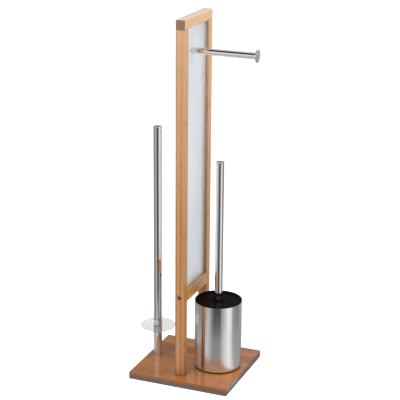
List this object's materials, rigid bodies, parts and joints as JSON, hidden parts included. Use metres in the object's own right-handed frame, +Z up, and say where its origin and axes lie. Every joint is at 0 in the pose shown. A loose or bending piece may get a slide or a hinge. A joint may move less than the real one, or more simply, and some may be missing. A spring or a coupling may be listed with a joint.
{
  "type": "toilet brush holder",
  "caption": "Free-standing toilet set: bamboo frame with a frosted glass panel, a roll arm, a rod for spare rolls, and a steel cup with a lidded brush on a weighted base.",
  "frame": {"origin": "middle of the base's underside, on the surface that the set stands on", "axes": "+X towards the brush cup, the way the roll arm points; +Y to the back, across the base; +Z up"},
  "size_m": [0.2401, 0.192, 0.7],
  "materials": {
    "bamboo": "satin lacquer",
    "bamboo_board": "gloss lacquer",
    "beech": "raw",
    "frosted_glass": "frosted",
    "clear_plastic": "clear, polished",
    "polished_steel": "polished",
    "screw_steel": "turned",
    "grey_paint": "matt powder coat",
    "foam_mat": "matt",
    "black_plastic": "gloss",
    "nylon": "matt",
    "bristles": "nylon bristles"
  },
  "bodies": {
    "stand": {"anti_slip_mat": "foam_mat", "weight_plate": "grey_paint", "base_board": "bamboo_board", "front_post": "bamboo", "rear_post": "bamboo", "top_rail": "bamboo", "bottom_rail": "bamboo", "glass_panel": "frosted_glass", "front_post_dowel": "beech", "rear_post_dowel": "beech", "rail_screw_front": "screw_steel", "rail_screw_rear": "screw_steel", "front_post_screw": "screw_steel", "rear_post_screw": "screw_steel", "spare_rod_screw": "screw_steel", "arm_front_washer": "nylon", "arm_back_washer": "nylon", "arm_rod": "polished_steel", "arm_end_cap": "polished_steel", "arm_screw": "screw_steel", "spare_rod_lower_tube": "polished_steel", "spare_rod_upper_tube": "polished_steel", "disc_lower_collar": "polished_steel", "disc_upper_collar": "polished_steel", "spare_roll_disc": "clear_plastic", "spare_rod_foot_bush": "screw_steel", "lower_tube_bush": "screw_steel", "upper_tube_bush": "screw_steel", "disc_stud": "screw_steel", "spare_rod_cap": "polished_steel"},
    "cup": {"cup_foot_ring": "black_plastic", "cup_shell": "polished_steel"},
    "liner": {"cup_liner": "black_plastic"},
    "brush": {"brush_lid": "black_plastic", "handle_tube": "polished_steel", "handle_end_cap": "polished_steel", "handle_bush": "black_plastic", "brush_stem": "black_plastic", "brush_head_core": "black_plastic", "brush_bristles": "bristles"}
  },
  "joints": [
    {"name": "cup_slide", "type": "slide", "parent": "stand", "child": "cup", "axis": [1, 0, 0], "range_m": [0, 0.05]},
    {"name": "liner_lift", "type": "slide", "parent": "cup", "child": "liner", "axis": [0, 0, 1], "range_m": [0, 0.0105]},
    {"name": "brush_lift", "type": "slide", "parent": "liner", "child": "brush", "axis": [0, 0, 1], "range_m": [0, 0.14]}
  ]
}
